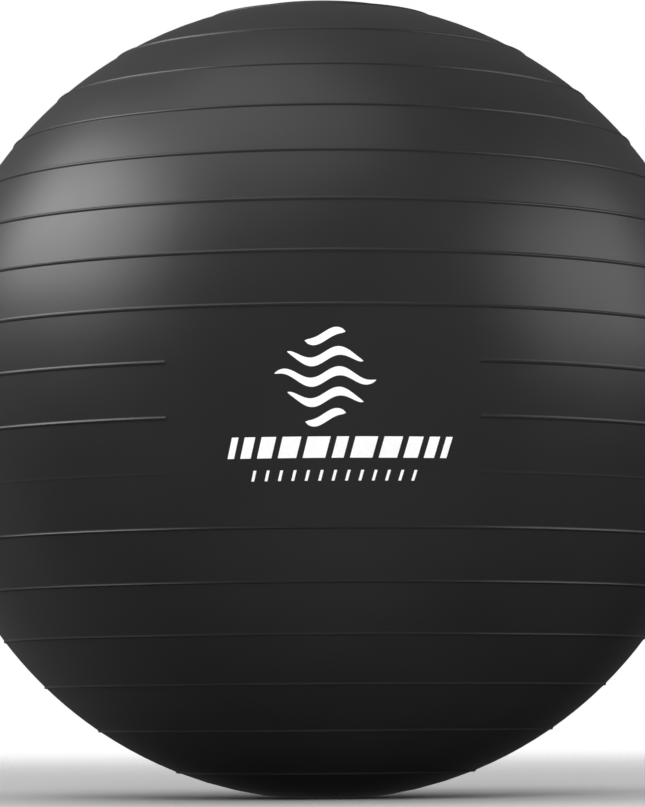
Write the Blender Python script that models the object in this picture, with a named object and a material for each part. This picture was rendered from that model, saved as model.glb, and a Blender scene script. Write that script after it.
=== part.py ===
"""Exercise ball: an inflated ribbed skin, the valve seat at its upper pole and the air plug in it.

Metres, +Z up. The origin is the middle of the flat that the ball stands on. The ribs are circles
about the Z axis, which is also the valve's axis, and the smooth printed panel faces -Y.
"""

import math

import bmesh
import bpy

# The inflated skin.
BALL_RADIUS = 0.325
WALL = 0.0008
FOOT_RADIUS = 0.034  # the flat where the ball's weight presses it on the floor
CENTRE_HEIGHT = math.sqrt(BALL_RADIUS**2 - FOOT_RADIUS**2)

# The ribs, numbered from the one nearest the belly: up is positive.
RIBS_EACH_SIDE = 8
RIB_HEIGHT = 0.0010
RIB_HALF_WIDTH = 0.0017
FIRST_RIB = 0.0150  # height of rib 0 over the ball's centre, in ball radii
RIB_PITCH = 0.12694  # spacing at the belly, in ball radii
RIB_CROWDING = 0.000141  # how the spacing closes up towards the poles
LOW_RIB = -2
LOW_RIB_HEIGHT = 0.0002
PANEL_RIBS = (0, -1, LOW_RIB)  # these stop at the edges of the printed panel
PANEL_HALF_ANGLE = math.radians(21.3)
RIB_END_ANGLE = math.radians(0.5)  # a rib runs out over this much

# Plain rings of the skin between the last ribs and the poles.
VALVE_HOLE_RADIUS = 0.0083
TOP_RING_RADII = (0.022, 0.055)
BOTTOM_RING_RADIUS = 0.072

# The valve seat, down from its top face, which is flush with the skin.
GAP = 0.0003
SEAT_TOP = CENTRE_HEIGHT + math.sqrt(BALL_RADIUS**2 - VALVE_HOLE_RADIUS**2)
SEAT_NECK_RADIUS = VALVE_HOLE_RADIUS - GAP
SEAT_FLANGE_RADIUS = 0.013
SEAT_FLANGE_DEPTH = WALL + 2 * GAP  # clear of the skin's inner face, which falls away from the pole
SEAT_FLANGE_THICKNESS = 0.0016
SEAT_TUBE_RADIUS = 0.0058
SEAT_TUBE_END_RADIUS = 0.0048
SEAT_LENGTH = 0.0190
DISH_DEPTH = 0.0007

# The air plug, down from the underside of its head.
HEAD_RADIUS = 0.0046
HEAD_THICKNESS = 0.0012
HEAD_EDGE = 0.0004
COLLAR_LENGTH = 0.0140
COLLAR_RADIUS = 0.00295
COLLAR_END_RADIUS = 0.0023
PIN_LENGTH = 0.0206
PIN_RADIUS = 0.00165
PIN_END_RADIUS = 0.0014
PLUG_HEIGHT = SEAT_TOP - DISH_DEPTH + GAP  # of the underside of its head

BACK_STEPS = 42
PANEL_STEPS = 6
VALVE_STEPS = 32
PIN_TIP_STEPS = 4


def clear_scene():
    for thing in list(bpy.data.objects):
        bpy.data.objects.remove(thing, do_unlink=True)


def plastic(name, colour, roughness):
    material = bpy.data.materials.new(name)
    material.use_nodes = True
    shader = material.node_tree.nodes["Principled BSDF"]
    shader.inputs["Base Color"].default_value = (*colour, 1.0)
    shader.inputs["Roughness"].default_value = roughness
    shader.inputs["Metallic"].default_value = 0.0
    return material


def turned(name, angles, profile_at, material, closed=False):
    """A mesh turned about its Z axis. profile_at(angle) gives the same number of (radius, height)
    points at every angle. A closed profile is a ring; an open one gets a flat cap at each end."""
    work = bmesh.new()
    columns = [
        [work.verts.new((r * math.cos(a), r * math.sin(a), z)) for r, z in profile_at(a)]
        for a in angles
    ]
    for left, right in zip(columns, columns[1:] + columns[:1]):
        rows = list(zip(left, right))
        followers = rows[1:] + rows[:1] if closed else rows[1:]
        for (a, b), (d, c) in zip(rows, followers):
            work.faces.new((a, b, c, d))
    if not closed:
        for end in (0, -1):
            work.faces.new([column[end] for column in columns])
    bmesh.ops.recalc_face_normals(work, faces=work.faces)
    mesh = bpy.data.meshes.new(name)
    work.to_mesh(mesh)
    work.free()
    mesh.shade_smooth()
    mesh.set_sharp_from_angle(angle=math.radians(35))
    mesh.materials.append(material)
    turned_object = bpy.data.objects.new(name, mesh)
    bpy.context.collection.objects.link(turned_object)
    return turned_object


def even_angles(steps):
    return [math.tau * i / steps for i in range(steps)]


def skin_angles():
    """Even columns round the back, a pair at each edge of the panel, and even ones across it."""
    front = -math.pi / 2
    inner = PANEL_HALF_ANGLE - RIB_END_ANGLE
    back_step = (math.tau - 2 * PANEL_HALF_ANGLE) / BACK_STEPS
    back = [front + PANEL_HALF_ANGLE + back_step * i for i in range(BACK_STEPS + 1)]
    panel = [front - inner + 2 * inner * i / PANEL_STEPS for i in range(PANEL_STEPS + 1)]
    return back + panel


def in_panel(angle):
    off_front = abs(math.remainder(angle + math.pi / 2, math.tau))
    return off_front < PANEL_HALF_ANGLE - RIB_END_ANGLE / 2


def on_sphere(radius, latitude):
    return radius * math.cos(latitude), CENTRE_HEIGHT + radius * math.sin(latitude)


def at_radius(sphere_radius, ring_radius, side):
    """The point of a sphere at this distance from the axis, above (1) or below (-1) the centre."""
    return ring_radius, CENTRE_HEIGHT + side * math.sqrt(sphere_radius**2 - ring_radius**2)


def rib_latitudes():
    """(rib number, latitude), from the lowest rib to the highest."""
    numbers = range(-RIBS_EACH_SIDE, RIBS_EACH_SIDE + 1)
    return [(n, math.asin(FIRST_RIB + RIB_PITCH * n - RIB_CROWDING * n**3)) for n in numbers]


def rib_height(number, angle):
    if number in PANEL_RIBS and in_panel(angle):
        return 0.0
    return LOW_RIB_HEIGHT if number == LOW_RIB else RIB_HEIGHT


def skin_profile(angle):
    """From the foot's edge up the outside, over the valve hole's edge and down the inside."""
    half = RIB_HALF_WIDTH / BALL_RADIUS
    inner_radius = BALL_RADIUS - WALL
    inner_foot = math.sqrt(inner_radius**2 - (CENTRE_HEIGHT - WALL) ** 2)
    ribs = rib_latitudes()
    outside = [(FOOT_RADIUS, 0.0), at_radius(BALL_RADIUS, BOTTOM_RING_RADIUS, -1)]
    for number, latitude in ribs:
        outside.append(on_sphere(BALL_RADIUS, latitude - half))
        outside.append(on_sphere(BALL_RADIUS + rib_height(number, angle), latitude))
        outside.append(on_sphere(BALL_RADIUS, latitude + half))
    rings = (VALVE_HOLE_RADIUS, *TOP_RING_RADII)
    outside += [at_radius(BALL_RADIUS, r, 1) for r in reversed(rings)]
    inside = [at_radius(inner_radius, r, 1) for r in rings]
    inside += [on_sphere(inner_radius, latitude) for _, latitude in reversed(ribs)]
    inside += [at_radius(inner_radius, BOTTOM_RING_RADIUS, -1), (inner_foot, WALL)]
    return outside + inside


def ball_skin():
    black = plastic("black_soft_vinyl", (0.012, 0.012, 0.013), 0.42)
    return turned("ball_skin", skin_angles(), skin_profile, black)


def seat_profile(_angle):
    """Round the seat's section: dish, top face, neck, flange, tube, then up the bore."""
    flange_end = SEAT_FLANGE_DEPTH + SEAT_FLANGE_THICKNESS
    collar_end = DISH_DEPTH + COLLAR_LENGTH
    return [
        (HEAD_RADIUS + GAP, -DISH_DEPTH),
        (HEAD_RADIUS + 2 * GAP, 0.0),
        (SEAT_NECK_RADIUS, 0.0),
        (SEAT_NECK_RADIUS, -SEAT_FLANGE_DEPTH),
        (SEAT_FLANGE_RADIUS, -SEAT_FLANGE_DEPTH),
        (SEAT_FLANGE_RADIUS, -flange_end),
        (SEAT_TUBE_RADIUS, -flange_end),
        (SEAT_TUBE_END_RADIUS, -SEAT_LENGTH),
        (PIN_RADIUS + GAP, -SEAT_LENGTH),
        (PIN_RADIUS + GAP, -collar_end),
        (COLLAR_END_RADIUS + GAP, -collar_end),
        (COLLAR_RADIUS + GAP, -DISH_DEPTH),
    ]


def valve_seat():
    soft = plastic("dark_valve_vinyl", (0.03, 0.03, 0.032), 0.5)
    seat = turned("valve_seat", even_angles(VALVE_STEPS), seat_profile, soft, closed=True)
    seat.location.z = SEAT_TOP
    return seat


def plug_profile(_angle):
    """From the top of the head down to the pin's rounded tip."""
    tip_centre = -COLLAR_LENGTH - PIN_LENGTH + PIN_END_RADIUS
    profile = [
        (HEAD_RADIUS - HEAD_EDGE, HEAD_THICKNESS),
        (HEAD_RADIUS, HEAD_THICKNESS - HEAD_EDGE),
        (HEAD_RADIUS, 0.0),
        (COLLAR_RADIUS, 0.0),
        (COLLAR_END_RADIUS, -COLLAR_LENGTH),
        (PIN_RADIUS, -COLLAR_LENGTH),
    ]
    for step in range(PIN_TIP_STEPS):
        turn = math.pi / 2 * step / PIN_TIP_STEPS
        profile.append(
            (PIN_END_RADIUS * math.cos(turn), tip_centre - PIN_END_RADIUS * math.sin(turn))
        )
    return profile


def air_plug():
    white = plastic("white_hard_plastic", (0.86, 0.86, 0.85), 0.3)
    plug = turned("air_plug", even_angles(VALVE_STEPS), plug_profile, white)
    plug.location.z = PLUG_HEIGHT
    return plug


clear_scene()
ball_skin()
valve_seat()
air_plug()
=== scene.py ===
"""Looks of the exercise ball: its moulded skin with ribs, valve, plug and print, and a plain studio.

Metres, +Z up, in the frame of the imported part: the ball stands on z = 0, its ribs are circles
about the Z axis, its valve is at the top and its printed panel faces -Y.
"""

import math

import bmesh
import bpy
import numpy as np
from mathutils import Matrix, Vector

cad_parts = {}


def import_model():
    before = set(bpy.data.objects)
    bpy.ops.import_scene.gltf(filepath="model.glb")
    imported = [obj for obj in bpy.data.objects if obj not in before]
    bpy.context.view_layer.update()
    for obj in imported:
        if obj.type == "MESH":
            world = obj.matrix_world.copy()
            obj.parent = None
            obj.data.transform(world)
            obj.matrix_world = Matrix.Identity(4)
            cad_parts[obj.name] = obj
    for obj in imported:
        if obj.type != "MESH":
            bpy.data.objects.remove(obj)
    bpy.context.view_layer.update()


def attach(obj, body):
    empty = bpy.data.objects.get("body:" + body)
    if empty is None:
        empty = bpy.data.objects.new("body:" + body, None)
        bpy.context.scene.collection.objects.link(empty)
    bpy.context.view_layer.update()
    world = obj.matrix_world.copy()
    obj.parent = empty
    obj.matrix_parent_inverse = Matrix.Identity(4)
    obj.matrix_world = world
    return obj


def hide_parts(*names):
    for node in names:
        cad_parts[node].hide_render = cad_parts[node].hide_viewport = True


# The skin, as in the CAD.
BALL_RADIUS = 0.325
WALL = 0.0008
FOOT_RADIUS = 0.034
CENTRE_HEIGHT = math.sqrt(BALL_RADIUS**2 - FOOT_RADIUS**2)
CENTRE = Vector((0, 0, CENTRE_HEIGHT))
FOOT_BLEND = 0.0005  # how far the skin's height takes to round off into the flat
FRONT = -math.pi / 2  # the azimuth of the printed panel's middle

# The ribs, numbered upwards from the one nearest the belly.
RIBS_EACH_SIDE = 8
RIB_HEIGHT = 0.0010
RIB_UPPER_WIDTH = 0.0017  # from a rib's crest up to where it meets the skin
RIB_LOWER_WIDTH = 0.0017
RIB_UPPER_BEND = 2.0  # the upper side sweeps up to a sharp crest
RIB_LOWER_BEND = 2.2  # the lower side steepens down to a crease
RIB_UPPER_ROWS = 5
RIB_LOWER_ROWS = 8
CREASE_REACH = 0.0004  # the skin's shading is its own again this far from a rib
FIRST_RIB = 0.0150
RIB_PITCH = 0.12694
RIB_CROWDING = 0.000141
LOW_RIB = -2
LOW_RIB_HEIGHT = 0.0002
PANEL_RIBS = (0, -1, LOW_RIB)
PANEL_HALF_ANGLE = math.radians(21.3)

# Mesh density of the skin.
BAND_ROWS = 5
CAP_ROWS = 16
BACK_COLUMNS = 206
PANEL_COLUMNS = 26
RIB_END_COLUMNS = 8
RIB_END_REACH = 1.2  # how far into the panel the close columns go, in rib widths
INNER_ROWS = 30
LOWEST_LATITUDE = math.radians(-89.6)  # of the ring round the small cap in the middle of the flat

# Edges sharper than these stay sharp.
SKIN_SHARP_ANGLE = math.radians(28)
TURNED_SHARP_ANGLE = math.radians(60)
INK_SHARP_ANGLE = math.radians(50)

# The valve and its plug, as in the CAD: depths are below the seat's top face, and the plug's
# heights are over the underside of its head.
VALVE_HOLE_RADIUS = 0.0083
GAP = 0.0003
SEAT_TOP = CENTRE_HEIGHT + math.sqrt(BALL_RADIUS**2 - VALVE_HOLE_RADIUS**2)
SEAT_NECK_RADIUS = VALVE_HOLE_RADIUS - GAP
SEAT_FLANGE_RADIUS = 0.013
SEAT_FLANGE_DEPTH = WALL + 2 * GAP
SEAT_FLANGE_THICKNESS = 0.0016
SEAT_TUBE_RADIUS = 0.0058
SEAT_TUBE_END_RADIUS = 0.0048
SEAT_LENGTH = 0.0190
DISH_DEPTH = 0.0007
HEAD_RADIUS = 0.0046
HEAD_THICKNESS = 0.0012
HEAD_HOLLOW_RADIUS = 0.0026
HEAD_HOLLOW_DEPTH = 0.0002
COLLAR_LENGTH = 0.0140
COLLAR_RADIUS = 0.00295
COLLAR_END_RADIUS = 0.0023
PIN_LENGTH = 0.0206
PIN_RADIUS = 0.00165
PIN_END_RADIUS = 0.0014
PLUG_HEIGHT = SEAT_TOP - DISH_DEPTH + GAP
EDGE_ROUNDING = 0.00025
EDGE_STEPS = 4
TURNED_STEPS = 96

# The moulded pad round the valve.
PAD_RADIUS = 0.021
PAD_HEIGHT = 0.0003
PAD_EDGE = 0.0012

# The print: places are across and up the panel from its middle at belly height.
INK_BASE = 0.00002  # the ink's lower and upper faces, over the skin
INK_TOP = 0.00014
INK_CELL = 0.004
EMBLEM_MIDDLE = (0.0016, -0.0083)
WAVE_LENGTHS = (0.030, 0.056, 0.075, 0.056, 0.030)
WAVE_PITCH = 0.0150
WAVE_THICKNESS = 0.0070
WAVE_SWING = 0.0042
WAVE_REPEAT = 0.042
WAVE_TIP = 0.04  # how thin a wave's ends are, as a part of its thickness
WAVE_TAPER = 0.6
BAR_MIDDLE = (0.0125, -0.0603)
BAR_HEIGHT = 0.0158
BAR_WIDTHS = (0.005, 0.008, 0.011, 0.014, 0.017, 0.009, 0.017, 0.014, 0.011, 0.008, 0.005)
BAR_GAP = 0.0048
BAR_SLANT = math.radians(15)
ROW_MIDDLE = (0.008, -0.0813)
ROW_HEIGHT = 0.0080
ROW_LENGTH = 0.123
ROW_WIDTH = 0.0022
ROW_COUNT = 13

# The camera looks slightly up at the ball, from near the floor.
CAMERA_DISTANCE = 3.245
CAMERA_BELOW = math.radians(4.54)
CAMERA_AIM_DOWN = 0.0027
CAMERA_AIM_LEFT = 0.0007
CAMERA_ROLL = math.radians(-0.38)
CAMERA_LENS_MM = 177.2

# The floor is solid near the ball and gives way to the white surroundings further off. Its grey round
# the ball, clearing to white over these distances, is partly painted shade: a soft shadow halo round
# the ball that no lamp casts.
FLOOR_RADIUS = 6.0
FLOOR_SOLID_TO = 0.8
FLOOR_GONE_BY = 4.6
FLOOR_DROP = 0.00005  # just clear of the ball's flat

# The lights: azimuth and elevation in degrees, distance, size and radiance.
KEY = (185, 36.5, 2.6, (2.2, 1.3), 6.35)
RIGHT_FILL = (-8, 24.0, 2.6, (2.25, 1.4), 2.45)
OVERHEAD = (225, 74.0, 2.2, (2.0, 1.5), 1.15)
FRONT_FILL = (270, 5.0, 2.6, (1.6, 1.6), 1.0)
FLOOR_LIGHT = (270, 20.0, 2.6, (1.6, 1.2), 9.0)

# What the ball's gloss shows of its surroundings: aim, edge and core in degrees, and strength.
WALL_BEHIND = ((0, 0.9, 0.4), 57, 25, 0.13)
LIT_FLOOR = ((0, -0.8, -0.58), 42, 12, 0.2)
LEFT_GLOW = ((-0.8, 0.6, -0.2), 42, 12, 0.17)


def rib_latitudes():
    """(rib number, latitude), from the lowest rib to the highest."""
    numbers = range(-RIBS_EACH_SIDE, RIBS_EACH_SIDE + 1)
    return [(n, math.asin(FIRST_RIB + RIB_PITCH * n - RIB_CROWDING * n**3)) for n in numbers]


def skin_latitudes():
    """Rows of the outer skin, from the foot's middle up to the valve hole: close together over each
    rib, and even between ribs."""
    lower, upper = RIB_LOWER_WIDTH / BALL_RADIUS, RIB_UPPER_WIDTH / BALL_RADIUS
    reach = CREASE_REACH / BALL_RADIUS
    top = math.acos(VALVE_HOLE_RADIUS / BALL_RADIUS)
    rows = []
    below = LOWEST_LATITUDE
    for _, latitude in rib_latitudes():
        rows.append(np.linspace(below, latitude - lower - reach, BAND_ROWS, endpoint=False))
        rows.append([latitude - lower - reach])
        rows.append(np.linspace(latitude - lower, latitude, RIB_LOWER_ROWS, endpoint=False))
        rows.append(np.linspace(latitude, latitude + upper, RIB_UPPER_ROWS))
        below = latitude + upper + reach
    pad_edge = math.acos((PAD_RADIUS + PAD_EDGE) / BALL_RADIUS)
    rows.append(np.linspace(below, pad_edge, BAND_ROWS, endpoint=False))
    rows.append(np.linspace(pad_edge, top, CAP_ROWS))
    return np.concatenate(rows)


def skin_azimuths():
    """Columns of the skin: even round the back and across the panel, close together at the ribs'
    ends."""
    end = RIB_END_REACH * RIB_LOWER_WIDTH / BALL_RADIUS
    inner = PANEL_HALF_ANGLE - end
    back = np.linspace(PANEL_HALF_ANGLE, math.tau - PANEL_HALF_ANGLE, BACK_COLUMNS, endpoint=False)
    left_end = np.linspace(-PANEL_HALF_ANGLE, -inner, RIB_END_COLUMNS, endpoint=False)
    panel = np.linspace(-inner, inner, PANEL_COLUMNS, endpoint=False)
    right_end = np.linspace(inner, PANEL_HALF_ANGLE, RIB_END_COLUMNS, endpoint=False)
    return FRONT + np.concatenate([left_end, panel, right_end, back])


def ridge(above_crest, past_end):
    """Height of a rib of height 1 this far over its crest line and past its end."""
    sweep = (1 - np.clip(above_crest / RIB_UPPER_WIDTH, 0, 1)) ** RIB_UPPER_BEND
    fall = 1 - np.clip(-above_crest / RIB_LOWER_WIDTH, 0, 1) ** RIB_LOWER_BEND
    end = 1 - np.clip(past_end / RIB_UPPER_WIDTH, 0, 1) ** 2
    return sweep * fall * end


def rib_relief(latitude, azimuth):
    """How far the ribs stand out of the skin. Panel ribs end in round tips at the panel's edges."""
    off_front = np.abs((azimuth - FRONT + math.pi) % math.tau - math.pi)
    past_end = np.maximum(PANEL_HALF_ANGLE - off_front, 0) * BALL_RADIUS * np.cos(latitude)
    relief = np.zeros(np.broadcast(latitude, azimuth).shape)
    for number, middle in rib_latitudes():
        above_crest = (latitude - middle) * BALL_RADIUS
        height = LOW_RIB_HEIGHT if number == LOW_RIB else RIB_HEIGHT
        relief = relief + height * ridge(above_crest, past_end if number in PANEL_RIBS else 0.0)
    return relief


def pad_relief(latitude):
    """The flat-topped pad round the valve, with a soft edge."""
    inside = (PAD_RADIUS + PAD_EDGE - BALL_RADIUS * np.cos(latitude)) / PAD_EDGE
    return PAD_HEIGHT * np.where(latitude > 0, np.sin(np.clip(inside, 0, 1) * math.pi / 2) ** 2, 0)


def flattened(height):
    """Heights over the floor with those below it brought up to it, rounding off over FOOT_BLEND."""
    near = np.maximum(FOOT_BLEND - np.abs(height), 0) / FOOT_BLEND
    return np.maximum(height, 0) + near**2 * FOOT_BLEND / 4


def sphere_points(radius, latitude, azimuth):
    """Points about the ball's centre. Latitudes and azimuths broadcast against each other."""
    across = radius * np.cos(latitude)
    height = CENTRE_HEIGHT + radius * np.sin(latitude) + 0 * azimuth
    return np.stack([across * np.cos(azimuth), across * np.sin(azimuth), height], axis=-1)


def mesh_object(name, shells, material, sharp_angle):
    """One mesh of closed shells, each a pair of points and faces, smooth but for its sharp edges."""
    work = bmesh.new()
    for points, faces in shells:
        corners = [work.verts.new(point) for point in points.reshape(-1, 3)]
        for face in faces:
            work.faces.new([corners[i] for i in face])
    bmesh.ops.recalc_face_normals(work, faces=work.faces)
    mesh = bpy.data.meshes.new(name)
    work.to_mesh(mesh)
    work.free()
    mesh.shade_smooth()
    mesh.set_sharp_from_angle(angle=sharp_angle)
    mesh.materials.append(material)
    made = bpy.data.objects.new(name, mesh)
    bpy.context.collection.objects.link(made)
    return made


def tube_faces(rows, columns, ends="capped"):
    """Faces of a grid of points that closes on itself along its columns. Its first and last rows
    are capped, or joined to each other."""
    at = np.arange(rows * columns).reshape(rows, columns)
    if ends == "joined":
        at = np.concatenate([at, at[:1]])
    a, b = at[:-1], np.roll(at, -1, axis=1)[:-1]
    c, d = np.roll(at, -1, axis=1)[1:], at[1:]
    sides = np.stack([a, b, c, d], axis=-1).reshape(-1, 4).tolist()
    if ends == "joined":
        return sides
    return [at[0][::-1].tolist(), *sides, at[-1].tolist()]


def ball_skin(material):
    azimuth = skin_azimuths()[None, :]
    latitude = skin_latitudes()[:, None]
    relief = rib_relief(latitude, azimuth) + pad_relief(latitude)
    outside = sphere_points(BALL_RADIUS + relief, latitude, azimuth)
    outside[..., 2] = flattened(outside[..., 2])
    inner_radius = BALL_RADIUS - WALL
    top = math.acos(VALVE_HOLE_RADIUS / inner_radius)
    down = np.linspace(top, latitude[0, 0], INNER_ROWS)[:, None]
    inside = sphere_points(inner_radius, down, azimuth)
    inside[..., 2] = flattened(inside[..., 2] - WALL) + WALL
    points = np.concatenate([outside, inside])
    shell = (points, tube_faces(*points.shape[:2]))
    skin = mesh_object("skin", [shell], material, SKIN_SHARP_ANGLE)
    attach(skin, "ball")
    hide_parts("ball_skin")


def rounded(outline, closed):
    """An outline of (radius, height) corners with each corner cut back and turned in a short curve."""
    corners = [Vector(corner) for corner in outline]
    soft = []
    for i, corner in enumerate(corners):
        if not closed and i in (0, len(corners) - 1):
            soft.append(corner)
            continue
        before, after = corners[i - 1] - corner, corners[(i + 1) % len(corners)] - corner
        start = corner + before.normalized() * min(EDGE_ROUNDING, before.length * 0.4)
        end = corner + after.normalized() * min(EDGE_ROUNDING, after.length * 0.4)
        for step in range(EDGE_STEPS + 1):
            t = step / EDGE_STEPS
            soft.append(start * (1 - t) ** 2 + corner * 2 * t * (1 - t) + end * t**2)
    return np.array([tuple(point) for point in soft])


def turned(name, outline, height, material, closed):
    """An outline turned about the Z axis, standing at this height."""
    profile = rounded(outline, closed)
    angle = np.linspace(0, math.tau, TURNED_STEPS, endpoint=False)
    radius, up = profile[:, :1], profile[:, 1:]
    points = np.stack([radius * np.cos(angle), radius * np.sin(angle), height + up + 0 * angle], -1)
    shell = (points, tube_faces(*points.shape[:2], ends="joined" if closed else "capped"))
    return mesh_object(name, [shell], material, TURNED_SHARP_ANGLE)


def valve_seat(material):
    flange_end = SEAT_FLANGE_DEPTH + SEAT_FLANGE_THICKNESS
    collar_end = DISH_DEPTH + COLLAR_LENGTH
    outline = [
        (HEAD_RADIUS + GAP, -DISH_DEPTH),
        (HEAD_RADIUS + 2 * GAP, 0.0),
        (SEAT_NECK_RADIUS, 0.0),
        (SEAT_NECK_RADIUS, -SEAT_FLANGE_DEPTH),
        (SEAT_FLANGE_RADIUS, -SEAT_FLANGE_DEPTH),
        (SEAT_FLANGE_RADIUS, -flange_end),
        (SEAT_TUBE_RADIUS, -flange_end),
        (SEAT_TUBE_END_RADIUS, -SEAT_LENGTH),
        (PIN_RADIUS + GAP, -SEAT_LENGTH),
        (PIN_RADIUS + GAP, -collar_end),
        (COLLAR_END_RADIUS + GAP, -collar_end),
        (COLLAR_RADIUS + GAP, -DISH_DEPTH),
    ]
    seat = turned("valve_grommet", outline, SEAT_TOP, material, closed=True)
    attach(seat, "ball")
    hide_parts("valve_seat")


def air_plug(material):
    """From the shallow hollow in the top of its head down to the pin's rounded tip."""
    tip = -COLLAR_LENGTH - PIN_LENGTH
    outline = [
        (GAP, HEAD_THICKNESS - HEAD_HOLLOW_DEPTH),
        (HEAD_HOLLOW_RADIUS, HEAD_THICKNESS - HEAD_HOLLOW_DEPTH),
        (HEAD_HOLLOW_RADIUS + GAP, HEAD_THICKNESS),
        (HEAD_RADIUS, HEAD_THICKNESS),
        (HEAD_RADIUS, 0.0),
        (COLLAR_RADIUS, 0.0),
        (COLLAR_END_RADIUS, -COLLAR_LENGTH),
        (PIN_RADIUS, -COLLAR_LENGTH),
        (PIN_END_RADIUS, tip + PIN_END_RADIUS),
        (PIN_END_RADIUS * 0.8, tip + PIN_END_RADIUS * 0.4),
        (PIN_END_RADIUS * 0.4, tip + PIN_END_RADIUS * 0.05),
        (PIN_END_RADIUS * 0.1, tip),
    ]
    plug = turned("plug", outline, PLUG_HEIGHT, material, closed=False)
    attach(plug, "plug")
    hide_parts("air_plug")


def ink_shell(across, up):
    """A closed film over the panel, from rows of places across and up it."""
    azimuth, latitude = FRONT + across / BALL_RADIUS, up / BALL_RADIUS
    over = sphere_points(BALL_RADIUS + INK_TOP, latitude, azimuth)
    under = sphere_points(BALL_RADIUS + INK_BASE, latitude, azimuth)
    points = np.concatenate([over, under[:, ::-1]], axis=1)
    return points, tube_faces(*points.shape[:2])


def ink(name, shells, material):
    film = mesh_object(name, shells, material, INK_SHARP_ANGLE)
    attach(film, "ball")


def wave(length, middle):
    """A level wavy band, thickest at its middle."""
    along = np.linspace(-1, 1, 1 + math.ceil(2 * length / INK_CELL))[:, None]
    thickness = WAVE_THICKNESS * (WAVE_TIP + (1 - WAVE_TIP) * (1 - along**2) ** WAVE_TAPER)
    across = along * length / 2
    up = WAVE_SWING * np.sin(across / WAVE_REPEAT * math.tau) + thickness * np.linspace(-0.5, 0.5, 3)
    return ink_shell(middle[0] + across + 0 * up, middle[1] + up)


def emblem(material):
    """Five waves, stacked in the shape of a diamond."""
    across, up = EMBLEM_MIDDLE
    steps = range(-(len(WAVE_LENGTHS) // 2), len(WAVE_LENGTHS) // 2 + 1)
    shells = [wave(length, (across, up + WAVE_PITCH * n)) for length, n in zip(WAVE_LENGTHS, steps)]
    ink("print_emblem", shells, material)


def slanted_block(left, width, height, middle_height):
    """A block that leans to the right."""
    rise = np.linspace(-height / 2, height / 2, 1 + math.ceil(height / INK_CELL))[:, None]
    columns = np.linspace(left, left + width, 1 + math.ceil(width / INK_CELL))
    across = columns + rise * math.tan(BAR_SLANT)
    return ink_shell(across, middle_height + rise + 0 * across)


def slanted_bars(material):
    """A row of blocks, widest to either side of its middle."""
    left = BAR_MIDDLE[0] - (sum(BAR_WIDTHS) + BAR_GAP * (len(BAR_WIDTHS) - 1)) / 2
    shells = []
    for width in BAR_WIDTHS:
        shells.append(slanted_block(left, width, BAR_HEIGHT, BAR_MIDDLE[1]))
        left += width + BAR_GAP
    ink("print_bars", shells, material)


def tick_row(material):
    """A row of small, even ticks."""
    lefts = ROW_MIDDLE[0] - ROW_WIDTH / 2 + ROW_LENGTH * (np.arange(ROW_COUNT) / (ROW_COUNT - 1) - 0.5)
    shells = [slanted_block(left, ROW_WIDTH, ROW_HEIGHT, ROW_MIDDLE[1]) for left in lefts]
    ink("print_ticks", shells, material)


def shader_material(name, colour, roughness):
    """A new material, with its node tree and its Principled shader."""
    material = bpy.data.materials.new(name)
    material.use_nodes = True
    shader = material.node_tree.nodes["Principled BSDF"]
    shader.inputs["Base Color"].default_value = (*colour, 1.0)
    shader.inputs["Roughness"].default_value = roughness
    return material, material.node_tree, shader


def noise(tree, scale, detail=3.0):
    """Noise in object space: scale is in repeats to the metre."""
    place = tree.nodes.new("ShaderNodeTexCoord")
    texture = tree.nodes.new("ShaderNodeTexNoise")
    texture.inputs["Scale"].default_value = scale
    texture.inputs["Detail"].default_value = detail
    tree.links.new(place.outputs["Object"], texture.inputs["Vector"])
    return texture.outputs["Fac"]


def spread(tree, value, low, high):
    """The middle of a noise value's range, spread from low to high."""
    span = tree.nodes.new("ShaderNodeMapRange")
    span.inputs["From Min"].default_value = 0.3
    span.inputs["From Max"].default_value = 0.7
    span.inputs["To Min"].default_value = low
    span.inputs["To Max"].default_value = high
    tree.links.new(value, span.inputs["Value"])
    return span.outputs["Result"]


def blended(tree, value, first, second):
    """One colour where value is 0, the other where it is 1."""
    mix = tree.nodes.new("ShaderNodeMix")
    mix.data_type = "RGBA"
    mix.inputs["A"].default_value = (*first, 1.0)
    mix.inputs["B"].default_value = (*second, 1.0)
    tree.links.new(value, mix.inputs["Factor"])
    return mix.outputs["Result"]


def bumped(tree, shader, layers):
    """Bump from (height, distance) layers, one over the other."""
    normal = None
    for height, distance in layers:
        bump = tree.nodes.new("ShaderNodeBump")
        bump.inputs["Distance"].default_value = distance
        tree.links.new(height, bump.inputs["Height"])
        if normal:
            tree.links.new(normal, bump.inputs["Normal"])
        normal = bump.outputs["Normal"]
    tree.links.new(normal, shader.inputs["Normal"])


def skin_vinyl():
    """Black soft vinyl: satin, with a fine moulded grain and faint clouding of colour and gloss."""
    material, tree, shader = shader_material("skin_vinyl", (0.0175, 0.0175, 0.018), 0.41)
    clouds = spread(tree, noise(tree, 9.0), 0.0, 1.0)
    tint = blended(tree, clouds, (0.016, 0.016, 0.0165), (0.019, 0.019, 0.0195))
    tree.links.new(tint, shader.inputs["Base Color"])
    gloss = spread(tree, noise(tree, 14.0, 5.0), 0.395, 0.425)
    tree.links.new(gloss, shader.inputs["Roughness"])
    bumped(tree, shader, [(noise(tree, 1400.0), 0.000006), (noise(tree, 40.0), 0.00001)])
    return material


def valve_vinyl():
    """The softer, duller vinyl of the valve."""
    material, tree, shader = shader_material("valve_vinyl", (0.03, 0.03, 0.032), 0.5)
    tint = blended(tree, spread(tree, noise(tree, 500.0), 0.0, 1.0), (0.025,) * 3, (0.034,) * 3)
    tree.links.new(tint, shader.inputs["Base Color"])
    tree.links.new(spread(tree, noise(tree, 900.0), 0.46, 0.56), shader.inputs["Roughness"])
    bumped(tree, shader, [(noise(tree, 4000.0), 0.00001)])
    return material


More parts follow.
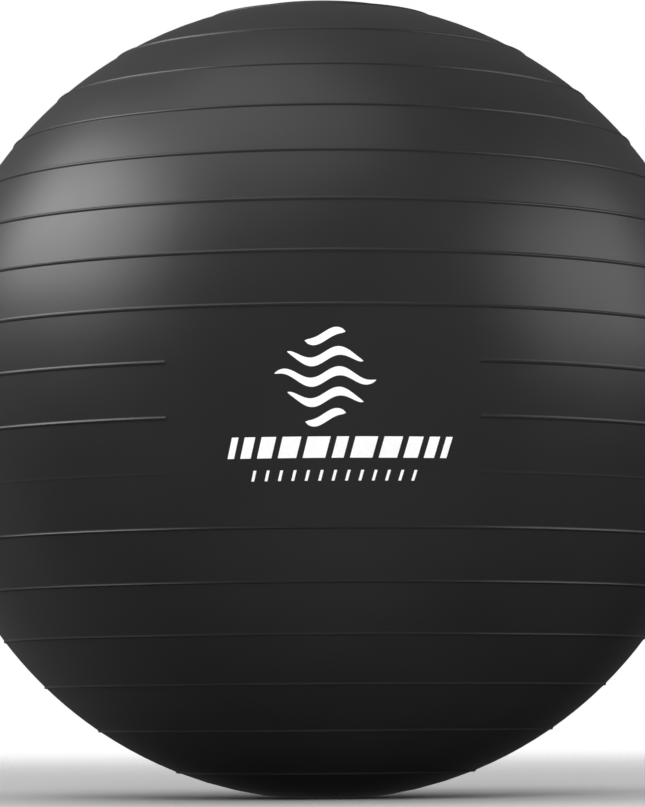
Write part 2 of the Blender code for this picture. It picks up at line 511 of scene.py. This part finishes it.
def plug_plastic():
    """White hard plastic, glossy and slightly waxy."""
    material, tree, shader = shader_material("plug_plastic", (0.86, 0.86, 0.85), 0.28)
    tint = blended(tree, spread(tree, noise(tree, 250.0), 0.0, 1.0), (0.84, 0.84, 0.82), (0.88,) * 3)
    tree.links.new(tint, shader.inputs["Base Color"])
    tree.links.new(spread(tree, noise(tree, 700.0), 0.24, 0.33), shader.inputs["Roughness"])
    bumped(tree, shader, [(noise(tree, 1500.0), 0.000008)])
    return material


def white_ink():
    """Screen-printed ink: matt, faintly uneven where it was pulled."""
    material, tree, shader = shader_material("white_ink", (0.93, 0.93, 0.93), 0.55)
    tint = blended(tree, spread(tree, noise(tree, 300.0), 0.0, 1.0), (0.91,) * 3, (0.95,) * 3)
    tree.links.new(tint, shader.inputs["Base Color"])
    tree.links.new(spread(tree, noise(tree, 600.0), 0.5, 0.6), shader.inputs["Roughness"])
    bumped(tree, shader, [(noise(tree, 2500.0), 0.000008)])
    return material


def floor_shade_fade():
    """Matt pale grey near the ball, clear further off. The grey round the ball that clears to white is
    partly painted shade, standing in for a soft shadow round it.
    """
    material, tree, shader = shader_material("pale_floor_painted_shade", (0.5, 0.5, 0.5), 0.9)
    place = tree.nodes.new("ShaderNodeTexCoord")
    reach = tree.nodes.new("ShaderNodeVectorMath")
    reach.operation = "LENGTH"
    tree.links.new(place.outputs["Object"], reach.inputs[0])
    # Painted shade: this fade keeps the floor darker round the ball and lets it lighten to white
    # further off.
    shade_fade = tree.nodes.new("ShaderNodeMapRange")
    shade_fade.interpolation_type = "SMOOTHSTEP"
    shade_fade.inputs["From Min"].default_value = FLOOR_SOLID_TO
    shade_fade.inputs["From Max"].default_value = FLOOR_GONE_BY
    shade_fade.inputs["To Min"].default_value = 1.0
    shade_fade.inputs["To Max"].default_value = 0.0
    tree.links.new(reach.outputs["Value"], shade_fade.inputs["Value"])
    tree.links.new(shade_fade.outputs["Result"], shader.inputs["Alpha"])
    return material


def floor(material):
    bpy.ops.mesh.primitive_circle_add(vertices=96, radius=FLOOR_RADIUS, fill_type="NGON")
    ground = bpy.context.object
    ground.name = "floor"
    ground.location.z = -FLOOR_DROP
    ground.data.materials.append(material)
    ground.visible_glossy = False
    return ground


def softbox(name, azimuth, elevation, distance, size, radiance):
    """A rectangular light that faces the ball from this direction, in degrees. It isn't seen."""
    turn, tilt = math.radians(azimuth), math.radians(elevation)
    away = Vector((math.cos(tilt) * math.cos(turn), math.cos(tilt) * math.sin(turn), math.sin(tilt)))
    data = bpy.data.lights.new(name, "AREA")
    data.shape = "RECTANGLE"
    data.size, data.size_y = size
    data.energy = radiance * math.pi * size[0] * size[1]
    light = bpy.data.objects.new(name, data)
    bpy.context.collection.objects.link(light)
    light.location = CENTRE + away * distance
    light.rotation_euler = (-away).to_track_quat("-Z", "Y").to_euler()
    light.visible_camera = False
    return light


def floor_linked(ground, state, *lights):
    """These lights reach everything but the floor (EXCLUDE), or only the floor (INCLUDE)."""
    group = bpy.data.collections.new("floor_" + state.lower())
    group.objects.link(ground)
    group.collection_objects[0].light_linking.link_state = state
    for light in lights:
        light.light_linking.receiver_collection = group


def camera():
    back = Vector((0, -math.cos(CAMERA_BELOW), -math.sin(CAMERA_BELOW)))
    data = bpy.data.cameras.new("camera")
    data.lens = CAMERA_LENS_MM
    data.sensor_width = 36.0
    eye = bpy.data.objects.new("camera", data)
    bpy.context.collection.objects.link(eye)
    eye.location = CENTRE + back * CAMERA_DISTANCE
    aim = CENTRE + Vector((-CAMERA_AIM_LEFT, 0, -CAMERA_AIM_DOWN))
    turn = (aim - eye.location).to_track_quat("-Z", "Y").to_matrix()
    eye.rotation_euler = (turn @ Matrix.Rotation(CAMERA_ROLL, 3, "Z")).to_euler()
    bpy.context.scene.camera = eye


def lobe(tree, aim, edge, core, strength):
    """Strength of a soft-edged patch of the surroundings: none beyond edge, all within core, in
    degrees from its aim."""
    place = tree.nodes.new("ShaderNodeTexCoord")
    facing = tree.nodes.new("ShaderNodeVectorMath")
    facing.operation = "DOT_PRODUCT"
    facing.inputs[1].default_value = Vector(aim).normalized()
    tree.links.new(place.outputs["Generated"], facing.inputs[0])
    patch = tree.nodes.new("ShaderNodeMapRange")
    patch.interpolation_type = "SMOOTHSTEP"
    patch.inputs["From Min"].default_value = math.cos(math.radians(edge))
    patch.inputs["From Max"].default_value = math.cos(math.radians(core))
    patch.inputs["To Max"].default_value = strength
    tree.links.new(facing.outputs["Value"], patch.inputs["Value"])
    return patch.outputs["Result"]


def world():
    """White surroundings that light the ball evenly. Only a few soft patches of them show in its
    gloss, faintly."""
    sky = bpy.data.worlds.new("studio")
    bpy.context.scene.world = sky
    sky.use_nodes = True
    tree = sky.node_tree
    seen_in_gloss = lobe(tree, *WALL_BEHIND)
    for patch in (LIT_FLOOR, LEFT_GLOW):
        both = tree.nodes.new("ShaderNodeMath")
        tree.links.new(seen_in_gloss, both.inputs[0])
        tree.links.new(lobe(tree, *patch), both.inputs[1])
        seen_in_gloss = both.outputs["Value"]
    ray = tree.nodes.new("ShaderNodeLightPath")
    seen = tree.nodes.new("ShaderNodeMix")
    seen.inputs["A"].default_value = 1.0
    tree.links.new(ray.outputs["Is Glossy Ray"], seen.inputs["Factor"])
    tree.links.new(seen_in_gloss, seen.inputs["B"])
    background = tree.nodes["Background"]
    background.inputs["Color"].default_value = (1, 1, 1, 1)
    tree.links.new(seen.outputs["Result"], background.inputs["Strength"])


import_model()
camera()
world()
key = softbox("key", *KEY)
right_fill = softbox("right_fill", *RIGHT_FILL)
softbox("overhead", *OVERHEAD)
front_fill = softbox("front_fill", *FRONT_FILL)
front_fill.visible_glossy = False
floor_light = softbox("floor_light", *FLOOR_LIGHT)
ground = floor(floor_shade_fade())
floor_linked(ground, "EXCLUDE", key, right_fill)
floor_linked(ground, "INCLUDE", floor_light)
ball_skin(skin_vinyl())
valve_seat(valve_vinyl())
air_plug(plug_plastic())
printed = white_ink()
emblem(printed)
slanted_bars(printed)
tick_row(printed)
bpy.context.scene.view_settings.view_transform = "Standard"
